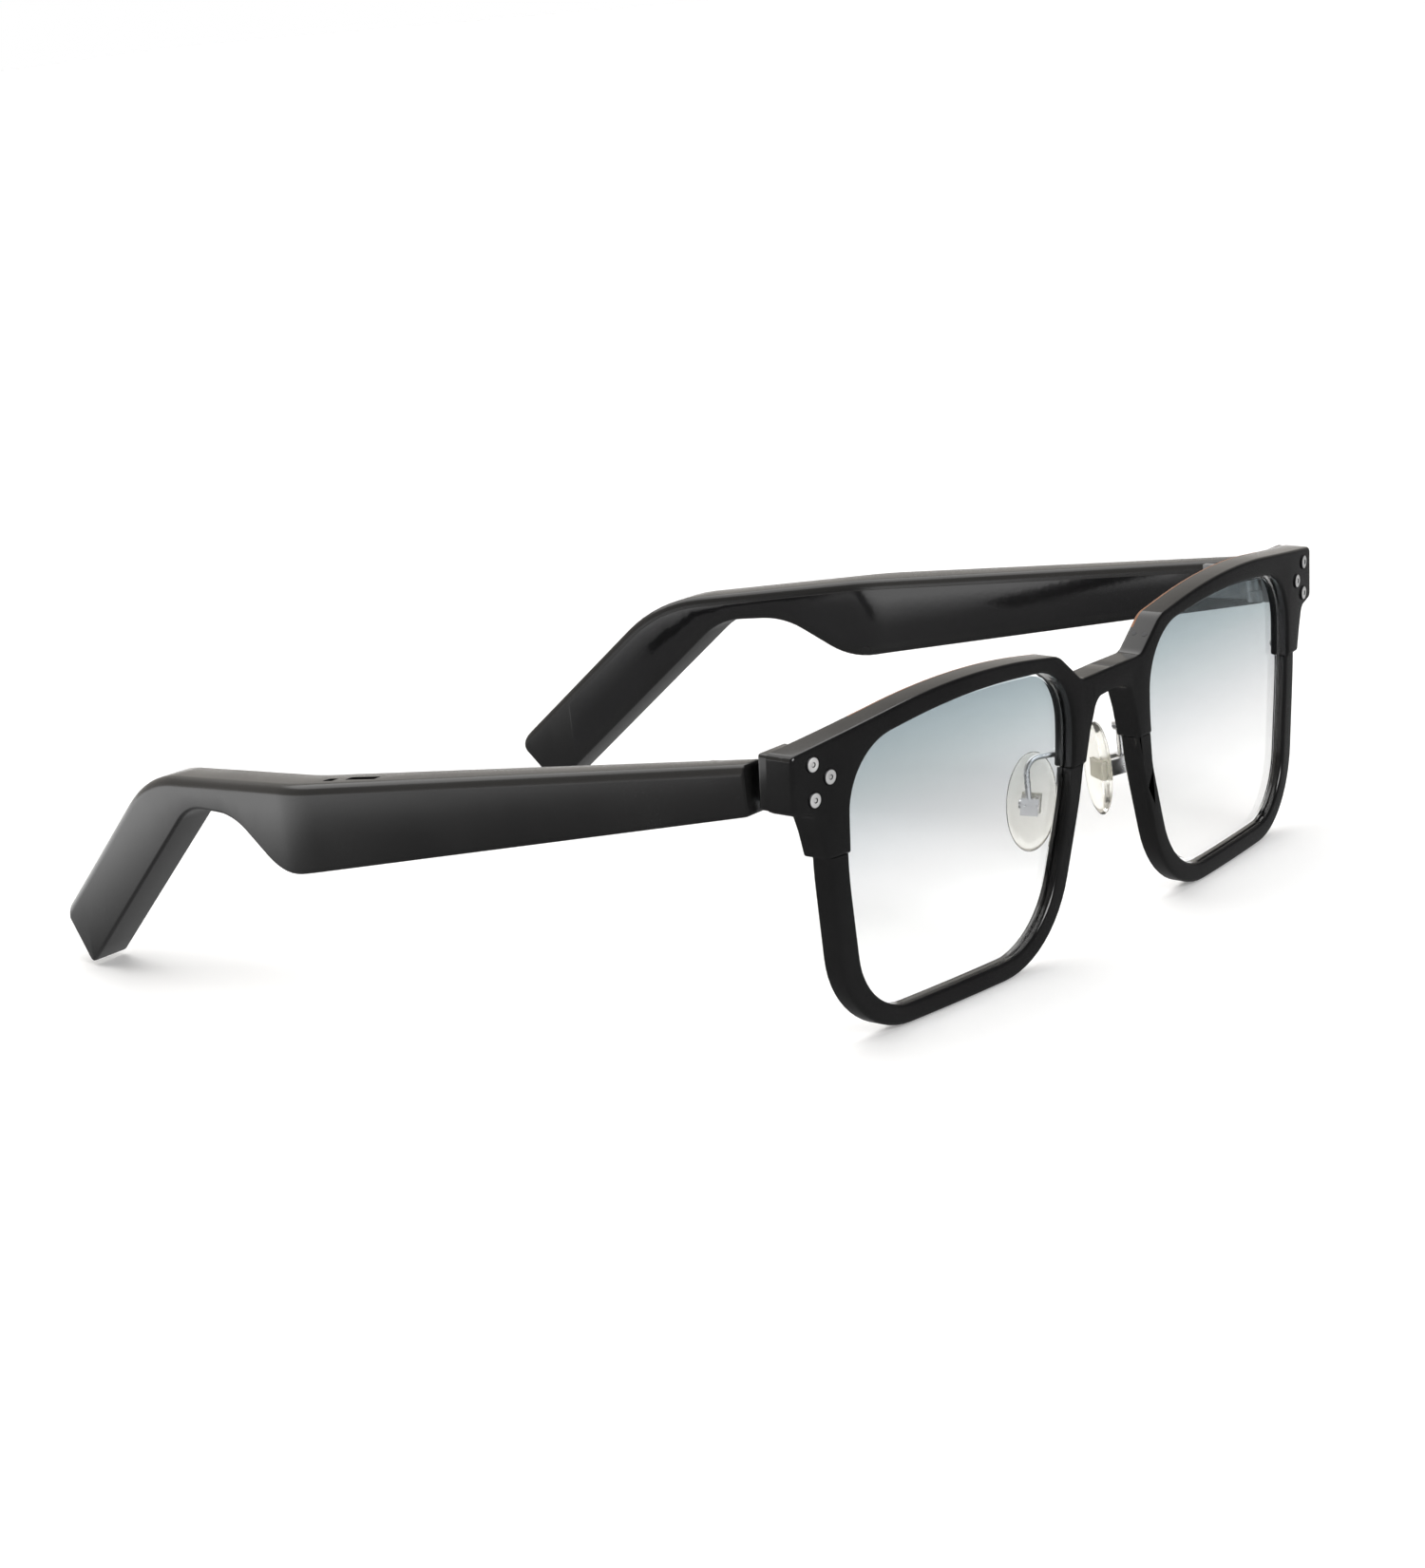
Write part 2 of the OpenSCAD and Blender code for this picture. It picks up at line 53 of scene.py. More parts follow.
SIDES = {"left": 1, "right": -1}
WRAP_R = 416
TILT = math.radians(4.5)
FORWARD_LEAN = 3.27    # how far the tilted brow reaches in front of where z is 0
FRONT_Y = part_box("brow_bar")[0].y / MM + FORWARD_LEAN
BROW_T = 4.2
BROW_EDGE = 0.55
SPLIT_Z = 27.6
EYE = [(18.9, 2.9, 14), (58.8, 2.9, 10.5), (61.4, 25, 60), (61.3, 41.6, 10),
       (37, 44.9, 120), (11, 42.9, 9.5), (10.9, 26.5, 40)]
BROW = [(0, 36.9, 0), (4.3, 36.6, 2.5), (6.3, 32, 6), (7.6, SPLIT_Z, 0), (30, SPLIT_Z, 0),
        (66, SPLIT_Z, 0), (67, 31.3, 4), (68.1, 34.3, 1.5), (72.2, 35.1, 0.9), (72.2, 43.3, 0.9),
        (36, 48.1, 120), (14.2, 45, 4.5), (8.3, 40.3, 3), (0, 40.4, 0)]


def outline(corners, step=6):
    """Points of a closed outline from its corners (u, v, radius), anticlockwise."""
    points = []
    for i, (u, v, radius) in enumerate(corners):
        here = Vector((u, v))
        back = (Vector(corners[i - 1][:2]) - here).normalized()
        ahead = (Vector(corners[(i + 1) % len(corners)][:2]) - here).normalized()
        if radius == 0:
            points.append(here)
            continue
        half = math.acos(max(-1, min(1, back.dot(ahead)))) / 2
        middle = here + (back + ahead).normalized() * radius / math.sin(half)
        start = here + back * radius / math.tan(half) - middle
        end = here + ahead * radius / math.tan(half) - middle
        first = math.atan2(start.y, start.x)
        turn = (math.atan2(end.y, end.x) - first + 3 * math.pi) % (2 * math.pi) - math.pi
        count = max(2, math.ceil(abs(math.degrees(turn)) / step), math.ceil(abs(turn) * radius / 2))
        for k in range(count + 1):
            a = first + turn * k / count
            points.append(middle + radius * Vector((math.cos(a), math.sin(a))))
    return points


def offset(corners, d):
    """The same corners with every edge moved outward by d."""
    moved = []
    for i, (u, v, radius) in enumerate(corners):
        here = Vector((u, v))
        a = (here - Vector(corners[i - 1][:2])).normalized()
        b = (Vector(corners[(i + 1) % len(corners)][:2]) - here).normalized()
        normals = Vector((a.y, -a.x)), Vector((b.y, -b.x))
        q = here + (normals[0] + normals[1]) * d / (1 + normals[0].dot(normals[1]))
        side = 1 if a.x * b.y - a.y * b.x > 0 else -1
        moved.append((q.x, q.y, max(0, radius + side * d)))
    return moved


def run_within(points, level, below, axis=1):
    """The run of a closed outline on one side of a level, with its two ends on the level."""
    kept = [(p[axis] < level) == below for p in points]
    first = next(i for i in range(len(points)) if kept[i] and not kept[i - 1])
    a, b = points[first - 1], points[first]
    run = [a.lerp(b, (level - a[axis]) / (b[axis] - a[axis]))]
    i = first
    while kept[i % len(points)]:
        run.append(points[i % len(points)])
        i += 1
    a, b = points[(i - 1) % len(points)], points[i % len(points)]
    run.append(a.lerp(b, (level - a[axis]) / (b[axis] - a[axis])))
    return run


def start_mesh(name, kind, **sizes):
    """A new primitive, alone in the selection, with a name."""
    bpy.ops.object.select_all(action="DESELECT")
    getattr(bpy.ops.mesh, f"primitive_{kind}_add")(**sizes)
    bpy.context.object.name = name
    return bpy.context.object


def apply_modifier(piece, kind, **settings):
    """Adds one modifier to a piece and applies it."""
    modifier = piece.modifiers.new(kind.lower(), kind)
    for key, value in settings.items():
        setattr(modifier, key, value)
    bpy.context.view_layer.objects.active = piece
    bpy.ops.object.modifier_apply(modifier=modifier.name)


def cut_blank(name, points, depth, edge, soft):
    """A flat blank: an outline in x and z in millimetres, depth thick along y.

    soft(u, v, face, turn) gives the rounding of an edge, in millimetres, from the middle of the
    edge, whether it lies on the "front", the "back" or runs "through", and, where it runs
    through, by how many degrees the outline turns there."""
    piece = start_mesh(name, "circle", vertices=len(points), fill_type="NGON")
    for vert, p in zip(piece.data.vertices, points):
        vert.co = (p[0], 0, p[1])
    bpy.ops.object.mode_set(mode="EDIT")
    bpy.ops.mesh.select_all(action="SELECT")
    bpy.ops.mesh.extrude_region_move(TRANSFORM_OT_translate={"value": (0, depth, 0)})
    bpy.ops.mesh.select_all(action="SELECT")
    bpy.ops.mesh.normals_make_consistent(inside=False)
    bpy.ops.object.mode_set(mode="OBJECT")
    turns = {}
    for i, p in enumerate(points):
        a, b = p - points[i - 1], points[(i + 1) % len(points)] - p
        turns[(round(p[0], 3), round(p[1], 3))] = abs(math.degrees(a.angle(b, 0)))
    mesh = piece.data
    weights = mesh.attributes.new("bevel_weight_edge", "FLOAT", "EDGE")
    for e in mesh.edges:
        a, b = (mesh.vertices[i].co for i in e.vertices)
        middle = (a + b) / 2
        face = "through" if abs(a.y - b.y) > 0.01 else ("front" if middle.y < depth / 2 else "back")
        turn = turns.get((round(a.x, 3), round(a.z, 3)), 0) if face == "through" else 0
        weights.data[e.index].value = soft(middle.x, middle.z, face, turn) / edge
    apply_modifier(piece, "BEVEL", width=edge, segments=5, limit_method="WEIGHT",
                   use_clamp_overlap=False, loop_slide=True)
    return piece


def slice_along(piece, axis, stations):
    """Cuts a piece into strips at stations along x (0), y (1) or z (2), so that it can bend."""
    bpy.context.view_layer.objects.active = piece
    bpy.ops.object.mode_set(mode="EDIT")
    for s in stations:
        bpy.ops.mesh.select_all(action="SELECT")
        where = [s if i == axis else 0 for i in range(3)]
        bpy.ops.mesh.bisect(plane_co=where, plane_no=[float(i == axis) for i in range(3)])
    bpy.ops.object.mode_set(mode="OBJECT")


def select_faces(piece, wanted):
    """Goes into edit mode with only those faces selected for which wanted(face) is true."""
    bpy.context.view_layer.objects.active = piece
    bpy.ops.object.mode_set(mode="EDIT")
    bpy.ops.mesh.select_all(action="DESELECT")
    bpy.ops.object.mode_set(mode="OBJECT")
    for face in piece.data.polygons:
        face.select = wanted(face)
    bpy.ops.object.mode_set(mode="EDIT")


def on_face(x, depth, z):
    """Where a point of the flat front comes to lie once it is bent and tilted, in metres."""
    y = WRAP_R - math.sqrt((WRAP_R - depth) ** 2 - x * x)
    return Vector((x, FRONT_Y + y * math.cos(TILT) - z * math.sin(TILT),
                   y * math.sin(TILT) + z * math.cos(TILT))) * MM


def smooth_piece(piece, angle=35):
    """Merges doubles, points the faces outward and shades all but the sharp edges smooth."""
    bpy.ops.object.select_all(action="DESELECT")
    piece.select_set(True)
    bpy.context.view_layer.objects.active = piece
    bpy.ops.object.mode_set(mode="EDIT")
    bpy.ops.mesh.select_all(action="SELECT")
    bpy.ops.mesh.remove_doubles(threshold=0.000004)
    bpy.ops.mesh.normals_make_consistent(inside=False)
    bpy.ops.object.mode_set(mode="OBJECT")
    bpy.ops.object.shade_smooth_by_angle(angle=math.radians(angle))


def join(piece, others):
    """Joins other pieces into this one."""
    bpy.ops.object.select_all(action="DESELECT")
    for other in [*others, piece]:
        other.select_set(True)
    bpy.context.view_layer.objects.active = piece
    bpy.ops.object.join()


def surface_group():
    """Marks that every moulded or polished surface here has: mottle, fine ripple and dust."""
    group = bpy.data.node_groups.new("surface_marks", "ShaderNodeTree")
    for name in ("Mottle Scale", "Ripple Scale", "Dust Scale"):
        group.interface.new_socket(name, in_out="INPUT", socket_type="NodeSocketFloat")
    for name in ("Mottle", "Ripple", "Dust"):
        group.interface.new_socket(name, in_out="OUTPUT", socket_type="NodeSocketFloat")
    nodes, links = group.nodes, group.links
    given, result = nodes.new("NodeGroupInput"), nodes.new("NodeGroupOutput")
    place = nodes.new("ShaderNodeTexCoord")
    for name, detail, low, high in (("Mottle", 4, 0.3, 0.7), ("Ripple", 2, 0.2, 0.8),
                                    ("Dust", 6, 0.66, 0.8)):
        noise, span = nodes.new("ShaderNodeTexNoise"), nodes.new("ShaderNodeMapRange")
        noise.inputs["Detail"].default_value = detail
        span.inputs["From Min"].default_value, span.inputs["From Max"].default_value = low, high
        links.new(place.outputs["Object"], noise.inputs["Vector"])
        links.new(given.outputs[name + " Scale"], noise.inputs["Scale"])
        links.new(noise.outputs["Fac"], span.inputs["Value"])
        links.new(span.outputs["Result"], result.inputs[name])
    return group


SURFACE = surface_group()
DUST_ROUGHNESS = 0.06
RIPPLE_HEIGHT = 0.0004


def finish(name, dark, light, rough, mottle=60, ripple=900, dust=2600, bump=0.02, **sockets):
    """A moulded or polished finish: two colours that mottle, a roughness range and fine ripple.

    What else it is, such as metallic or coated, is set on the shader's own sockets."""
    material = bpy.data.materials.new(name)
    material.use_nodes = True
    nodes, links = material.node_tree.nodes, material.node_tree.links
    shader = nodes["Principled BSDF"]
    marks = nodes.new("ShaderNodeGroup")
    marks.node_tree = SURFACE
    for socket, value in (("Mottle Scale", mottle), ("Ripple Scale", ripple), ("Dust Scale", dust)):
        marks.inputs[socket].default_value = value
    colour = nodes.new("ShaderNodeMix")
    colour.data_type = "RGBA"
    colour.inputs["A"].default_value, colour.inputs["B"].default_value = (*dark, 1), (*light, 1)
    links.new(marks.outputs["Mottle"], colour.inputs["Factor"])
    links.new(colour.outputs["Result"], shader.inputs["Base Color"])
    gloss = nodes.new("ShaderNodeMapRange")
    gloss.inputs["To Min"].default_value, gloss.inputs["To Max"].default_value = rough
    links.new(marks.outputs["Mottle"], gloss.inputs["Value"])
    specks = nodes.new("ShaderNodeMath")
    specks.operation = "MULTIPLY_ADD"
    specks.inputs[1].default_value = DUST_ROUGHNESS
    links.new(marks.outputs["Dust"], specks.inputs[0])
    links.new(gloss.outputs["Result"], specks.inputs[2])
    links.new(specks.outputs["Value"], shader.inputs["Roughness"])
    relief = nodes.new("ShaderNodeBump")
    relief.inputs["Strength"].default_value = bump
    relief.inputs["Distance"].default_value = RIPPLE_HEIGHT
    links.new(marks.outputs["Ripple"], relief.inputs["Height"])
    links.new(relief.outputs["Normal"], shader.inputs["Normal"])
    for socket, value in sockets.items():
        shader.inputs[socket.replace("_", " ").title().replace("Ior", "IOR")].default_value = value
    return material


black_acetate = finish("black_acetate", (0.0035, 0.0035, 0.0037), (0.007, 0.007, 0.0072),
                       (0.1, 0.2), bump=0.012)
# Painted warm reflection: brown colour standing in for a warm glint along the back of the brow's
# top.
warm_reflection_paint = finish("warm_reflection_paint", (0.2, 0.075, 0.025), (0.3, 0.12, 0.045), (0.3, 0.42),
                     specular_ior_level=0.25)
# Where the painted warm reflection lies on the brow, in millimetres.
REFLECTION_FROM, REFLECTION_TO, REFLECTION_ABOVE = 12, 58, 34
REFLECTION_SLICE, REFLECTION_DEPTH = 0.55, 0.5

brow_points = outline(BROW)
gap_at = next(i for i, p in enumerate(brow_points) if (p - Vector((30, SPLIT_Z))).length < 0.01)
brow_points[gap_at:gap_at + 1] = reversed(run_within(outline(EYE), SPLIT_Z, False))


def brow_softness(u, v, face, turn):
    """Every edge is rounded but those on the middle plane and where the end block joins."""
    if u < 0.01 and face != "through" or face == "through" and turn < 30:
        return 0
    if face == "back" and u > 62.5 and v > 35.2:
        return 0
    return {"front": BROW_EDGE, "back": 0.4, "through": 0.3}[face]


def make_brow():
    """One half is cut and opened on the middle plane, then mirrored, bent and tilted."""
    brow = cut_blank("brow_bar_visual", brow_points, BROW_T, BROW_EDGE, brow_softness)
    select_faces(brow, lambda face: abs(face.normal.x) > 0.99 and abs(face.center.x) < 0.01)
    bpy.ops.mesh.delete(type="FACE")
    bpy.ops.object.mode_set(mode="OBJECT")
    apply_modifier(brow, "MIRROR", use_axis=(True, False, False), use_clip=True,
                   merge_threshold=0.01)
    slice_along(brow, 0, [3 * i for i in range(-23, 24)])
    slice_along(brow, 1, [BROW_T - REFLECTION_SLICE])
    brow.data.materials.append(black_acetate)
    brow.data.materials.append(warm_reflection_paint)
    # The upward faces at the back of the brow's top, away from the ends, get the painted warm
    # reflection.
    for face in brow.data.polygons:
        top = face.normal.z > 0.5 and face.center.z > REFLECTION_ABOVE
        along = REFLECTION_FROM < abs(face.center.x) < REFLECTION_TO
        face.material_index = int(top and along and face.center.y > BROW_T - REFLECTION_DEPTH)
    for vert in brow.data.vertices:
        vert.co = on_face(*vert.co)
    return brow


def make_end_block(side):
    """The stub behind the end of the brow that carries the front leaf of the hinge."""
    block = start_mesh("end_block", "cube", size=1)
    low, high = Vector((65.8, 7.5, 35.25)), Vector((72.2, 12.2, 43.2))
    for vert in block.data.vertices:
        vert.co = [low[i] if vert.co[i] < 0 else high[i] for i in range(3)]
        if vert.co.y > 10 and vert.co.x > 70:
            vert.co.x -= 0.15
    apply_modifier(block, "BEVEL", width=0.5, segments=4, limit_method="ANGLE")
    for vert in block.data.vertices:
        x, y, z = vert.co
        vert.co = on_face(0, 0, 0) + Vector((
            side * x, y * math.cos(TILT) - z * math.sin(TILT),
            y * math.sin(TILT) + z * math.cos(TILT))) * MM
    block.data.materials.append(black_acetate)
    return block


brow = make_brow()
join(brow, [make_end_block(side) for side in SIDES.values()])
smooth_piece(brow)
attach(brow, "front")
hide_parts("brow_bar")

# ---- Lower rims ----
# A slim black rim hangs under each brow and holds the lower half of a lens. It is turned from
# the same stock, stands a little behind the brow, and has a stepped back edge.

RIM = [(16.4, 0, 17), (62.4, 0, 14), (65.2, 26, 60), (65.2, 46, 8), (7.2, 46, 8), (7.4, 26.5, 40)]
RIM_SET = 0.4
RIM_T = 3.2
RIM_EDGE = 0.6
RIM_TOP = SPLIT_Z - 0.05
rim_black = finish("rim_black", (0.004, 0.004, 0.0042), (0.008, 0.008, 0.0082),
                   (0.1, 0.2), mottle=90, bump=0.012)


def rim_softness(u, v, face, turn):
    if v > SPLIT_Z - 0.2:
        return 0.05 if face != "through" else 0
    return {"front": RIM_EDGE, "back": 0.5, "through": 0}[face]


def make_rim(name, side):
    points = run_within(outline(RIM), RIM_TOP, True)
    points += reversed(run_within(outline(EYE), RIM_TOP, True))
    rim = cut_blank(f"rim_{name}_visual", points, RIM_T, RIM_EDGE, rim_softness)
    slice_along(rim, 0, [8 + 2.5 * i for i in range(23)])
    for vert in rim.data.vertices:
        x, y, z = vert.co
        vert.co = on_face(side * x, y + RIM_SET, z)
    rim.data.materials.append(rim_black)
    smooth_piece(rim)
    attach(rim, "front")
    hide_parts(f"rim_{name}")


for name, side in SIDES.items():
    make_rim(name, side)

# ---- Lenses ----
# Each lens is a thin cylinder-curved plate let into a groove round the opening. It is dyed
# blue-grey at the top, and the dye fades to clear towards the bottom.

LENS_DEPTH = 1.6
LENS_T = 1.4
LENS_REACH = 0.6
LENS_EDGE = 0.2
CLEAR_EDGE = 0.95
LENS_DYE = [(0.1, (1, 1, 1)), (0.28, (0.93, 0.94, 0.94)), (0.46, (0.79, 0.80, 0.81)),
            (0.64, (0.60, 0.63, 0.65)), (0.83, (0.40, 0.46, 0.48)), (1.0, (0.25, 0.31, 0.34))]


def fade_along(tree, coordinates, axis, low, high, stops):
    """The colour of a ramp that runs along one axis, from low to high."""
    nodes, links = tree.nodes, tree.links
    place, parts = nodes.new("ShaderNodeTexCoord"), nodes.new("ShaderNodeSeparateXYZ")
    span, fade = nodes.new("ShaderNodeMapRange"), nodes.new("ShaderNodeValToRGB")
    span.inputs["From Min"].default_value, span.inputs["From Max"].default_value = low, high
    links.new(place.outputs[coordinates], parts.inputs["Vector"])
    links.new(parts.outputs[axis], span.inputs["Value"])
    links.new(span.outputs["Result"], fade.inputs["Fac"])
    ramp = fade.color_ramp
    while len(ramp.elements) < len(stops):
        ramp.elements.new(0.5)
    for element, (at, colour) in zip(ramp.elements, stops):
        element.position, element.color = at, (*colour, 1)
    return fade.outputs["Color"]


def lens_material():
    """Clear plastic whose one colour gives way to a dye that is strongest at the top."""
    lens = finish("graduated_lens", (1, 1, 1), (1, 1, 1), (0.0, 0.0), bump=0,
                  transmission_weight=1.0, ior=1.45)
    tree = lens.node_tree
    shader = tree.nodes["Principled BSDF"]
    tree.nodes.remove(shader.inputs["Base Color"].links[0].from_node)
    low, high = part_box("lens_left")
    dye = fade_along(tree, "Object", "Z", low.z, high.z, LENS_DYE)
    tree.links.new(dye, shader.inputs["Base Color"])
    return lens


graduated_lens = lens_material()
clear_edge = finish("clear_edge", (0.98, 0.99, 1), (1, 1, 1), (0.02, 0.06), bump=0,
                    transmission_weight=1.0, ior=1.3)


def make_lens(name, side):
    points = outline(offset(EYE, LENS_REACH))
    lens = cut_blank(f"lens_{name}_visual", points, LENS_T, LENS_EDGE,
                     lambda u, v, face, turn: 0 if face == "through" else LENS_EDGE)
    select_faces(lens, lambda face: abs(face.normal.y) > 0.99 and face.area > 100)
    bpy.ops.mesh.inset(thickness=CLEAR_EDGE, use_even_offset=True)
    bpy.ops.object.mode_set(mode="OBJECT")
    lens.data.materials.append(graduated_lens)
    lens.data.materials.append(clear_edge)
    for face in lens.data.polygons:
        face.material_index = int(not face.select)
    slice_along(lens, 0, [11 + 2 * i for i in range(26)])
    for vert in lens.data.vertices:
        x, y, z = vert.co
        vert.co = on_face(side * x, y + LENS_DEPTH, z)
    smooth_piece(lens)
    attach(lens, "front")
    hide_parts(f"lens_{name}")


for name, side in SIDES.items():
    make_lens(name, side)

# ---- Rivets ----
# Three bright round heads in each end of the brow, turned from steel, with a small centre mark.
# Their shanks go back into the end block and stay out of sight.

RIVETS = [(68.5, 41.6), (65.3, 39.2), (68.3, 36.6)]
HEAD_R = 1.12
RIM_RING = 0.15
MARK_RING = 0.25, 0.4
rivet_steel = finish("rivet_steel", (0.6, 0.6, 0.6), (0.78, 0.78, 0.78), (0.4, 0.5),
                     mottle=400, bump=0.03, metallic=0.5)
dark_steel = finish("dark_steel", (0.03, 0.03, 0.032), (0.08, 0.08, 0.082), (0.3, 0.45),
                    metallic=1.0)


def make_rivet_head():
    """A shallow dome on a rim, with a small hollow in its middle, facing -Y."""
    head = start_mesh("rivet_head", "circle", vertices=48, radius=HEAD_R, fill_type="NGON",
                      rotation=(math.pi / 2, 0, 0))
    bpy.ops.object.transform_apply(location=False, rotation=True, scale=False)
    bpy.ops.object.mode_set(mode="EDIT")
    bpy.ops.mesh.select_all(action="SELECT")
    for inset, rise in ((0, -0.16), (0.12, -0.08), (0.3, -0.05), (0.32, -0.02), (0.12, 0.12)):
        if inset:
            bpy.ops.mesh.inset(thickness=inset, depth=0)
            bpy.ops.transform.translate(value=(0, rise, 0))
        else:
            bpy.ops.mesh.extrude_region_move(TRANSFORM_OT_translate={"value": (0, rise, 0)})
    bpy.ops.object.mode_set(mode="OBJECT")
    head.data.materials.append(rivet_steel)
    head.data.materials.append(dark_steel)
    for face in head.data.polygons:
        away = math.hypot(face.center.x, face.center.z)
        face.material_index = int(away > HEAD_R - RIM_RING or MARK_RING[0] < away < MARK_RING[1])
    return head


def make_rivets(name, side):
    heads = []
    for x, z in RIVETS:
        head = bpy.data.objects.new("head", rivet_head.data.copy())
        bpy.context.scene.collection.objects.link(head)
        y = WRAP_R - math.sqrt(WRAP_R ** 2 - x * x)
        lean = Matrix.Rotation(math.asin(x / WRAP_R) * side, 4, "Z")
        for vert in head.data.vertices:
            p = lean @ vert.co + Vector((side * x, y, z))
            vert.co = Vector((p.x, FRONT_Y + p.y * math.cos(TILT) - p.z * math.sin(TILT),
                              p.y * math.sin(TILT) + p.z * math.cos(TILT))) * MM
        heads.append(head)
    rivets = heads[0]
    join(rivets, heads[1:])
    rivets.name = f"rivets_{name}_visual"
    smooth_piece(rivets, 50)
    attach(rivets, "front")
    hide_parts(f"rivets_{name}")


rivet_head = make_rivet_head()
for name, side in SIDES.items():
    make_rivets(name, side)
bpy.data.objects.remove(rivet_head)

# ---- Folding arms ----
# Each arm is a moulded shell, slim at the hinge, deepest over the ear where the speaker sits,
# and bent down to a thick tip. It is cut to its side view, softened, and bowed in plan: it
# spreads out to its widest part and then turns in behind the head.

ARM_START = 12.7
ARM_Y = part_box("arm_shell_left")[0].y / MM - ARM_START
ARM = [(ARM_START, 35.1, 0), (95.3, 22.7, 12), (107.3, 30.4, 13), (119.4, 30.2, 11),
       (154.4, 0.15, 0), (160.9, 8.3, 0), (131.2, 33.9, 24), (ARM_START, 42.3, 0)]
TOP_Z, TOP_FALL = 41.2, 0.0709
BEND_U, REAR_Z, REAR_FALL = 128, 31.5, 0.86
HINGE_CORNER, TIP_CORNER, REAR_CORNER = 0.5, 1.45, 2.9
BLANK_T = 8.0
OUTER_PLAN = [(11.7, 72.3, 0), (91, 78.5, 22), (165, 60.3, 0)]
INNER_PLAN = [(11.7, 67.8, 0), (91, 70.4, 22), (165, 53.1, 0)]
arm_black = finish("arm_black", (0.006, 0.006, 0.0061), (0.010, 0.010, 0.0101),
                   (0.2, 0.28), mottle=45, ripple=1400, bump=0.008)


def across(line, y):
    """The x of a plan line at y."""
    for a, b in zip(line, line[1:]):
        if a.x <= y <= b.x:
            return a.y + (b.y - a.y) * (y - a.x) / (b.x - a.x)
    return line[-1].y


outer_line, inner_line = outline(OUTER_PLAN, step=2), outline(INNER_PLAN, step=2)


def on_arm(side, u, depth, v):
    """Where a point of the flat arm blank comes to lie, in metres: depth runs inward."""
    outer, inner = across(outer_line, u), across(inner_line, u)
    x = outer + (inner - outer) * depth / BLANK_T
    return Vector((side * x, ARM_Y + u, v)) * MM


def arm_softness(u, v, face, turn):
    """The top and rear edges are well rounded, the edges below and at the hinge less."""
    if face == "through":
        if turn < 40:
            return 0
        return HINGE_CORNER if u < 13 else TIP_CORNER if v < 4 else REAR_CORNER
    top = v > TOP_Z - TOP_FALL * (u - ARM_START)
    rear = u > BEND_U - 6 and v > REAR_Z - REAR_FALL * (u - BEND_U)
    if u < ARM_START + 0.2:
        return 0.5
    if face == "front":
        return 1.6 if top or rear else 0.6
    return 1.3 if top or rear else 0.7


ARM_STATIONS = [*range(18, 84, 6), *[85 + 0.75 * i for i in range(20)], *range(102, 162, 4)]
SLOTS = [(77.2, 5.8), (85, 2)]
SLOT_IN, SLOT_W, SLOT_H, SLOT_Z, SLOT_CORNER = 3.2, 1.6, 3, 38, 0.3


def cut_slots(arm):
    """The two sound slots in the top of the right arm, each from its start and length."""
    cutters = []
    for start, length in SLOTS:
        cutter = start_mesh("slot_cutter", "cube", size=1)
        x = -(across(outer_line, start) - SLOT_IN)
        for vert in cutter.data.vertices:
            c = vert.co
            vert.co = Vector((x + SLOT_W * c.x, ARM_Y + start + (c.y + 0.5) * length,
                              SLOT_Z + SLOT_H * c.z)) * MM
        apply_modifier(cutter, "BEVEL", width=SLOT_CORNER * MM, segments=3, limit_method="ANGLE")
        cutters.append(cutter)
    for cutter in cutters:
        apply_modifier(arm, "BOOLEAN", operation="DIFFERENCE", object=cutter, solver="EXACT")
        bpy.data.objects.remove(cutter)


def make_arm(name, side):
    arm = cut_blank(f"arm_shell_{name}_visual", outline(ARM), BLANK_T, REAR_CORNER, arm_softness)
    slice_along(arm, 0, ARM_STATIONS)
    for vert in arm.data.vertices:
        vert.co = on_arm(side, vert.co.x, vert.co.y, vert.co.z)
    smooth_piece(arm)
    if side < 0:
        cut_slots(arm)
    arm.data.materials.clear()
    arm.data.materials.append(arm_black)
    smooth_piece(arm)
    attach(arm, f"arm_{name}")
    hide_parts(f"arm_shell_{name}")


for name, side in SIDES.items():
    make_arm(name, side)

# ---- Inner covers ----
# A polished cover closes the inside of each arm from near the hinge to the tip. It sits flush in
# the shell, with a fine line round it, and two tiny screws hold it.

COVER_INSET = 1.6
COVER_T = 0.9
COVER_PROUD = 0.05
COVER_EDGE = 0.16
COVER_START = 24.5
COVER_END = 150
polished_black = finish("polished_black", (0.006, 0.006, 0.0065), (0.01, 0.01, 0.0105),
                        (0.06, 0.12), mottle=30, bump=0.01)


def make_cover(name, side):
    points = run_within(outline(offset(ARM, -COVER_INSET)), COVER_START, False, 0)
    points = run_within(points, COVER_END, True, 0)
    cover = cut_blank(f"arm_cover_{name}_visual", points, COVER_T, COVER_EDGE,
                      lambda u, v, face, turn: COVER_EDGE if face == "back" else 0)
    slice_along(cover, 0, [s for s in ARM_STATIONS if COVER_START < s < COVER_END])
    for vert in cover.data.vertices:
        depth = BLANK_T - COVER_T + COVER_PROUD + vert.co.y
        vert.co = on_arm(side, vert.co.x, depth, vert.co.z)
    cover.data.materials.append(polished_black)
    smooth_piece(cover)
    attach(cover, f"arm_{name}")
    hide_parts(f"arm_cover_{name}")


for name, side in SIDES.items():
    make_cover(name, side)

# ---- Nose pads ----
# Soft clear silicone ovals, domed towards the nose, moulded on a hard insert that a small screw
# holds in a metal box at the end of a bent wire.

PAD_L, PAD_W, PAD_T = 15, 7.4, 2.4
PAD_BACK = 0.75    # the side towards the screw is this much flatter
PAD_SPLAY, PAD_LEAN, PAD_FACING = -7, 6, -28
pad_silicone = finish("pad_silicone", (0.95, 0.94, 0.88), (0.98, 0.97, 0.92), (0.04, 0.12),
                      mottle=200, ripple=700, bump=0.02, transmission_weight=0.97, ior=1.3)
frosted = finish("frosted_insert", (0.82, 0.8, 0.7), (0.9, 0.88, 0.8), (0.3, 0.42),
                 transmission_weight=0.4, ior=1.49)


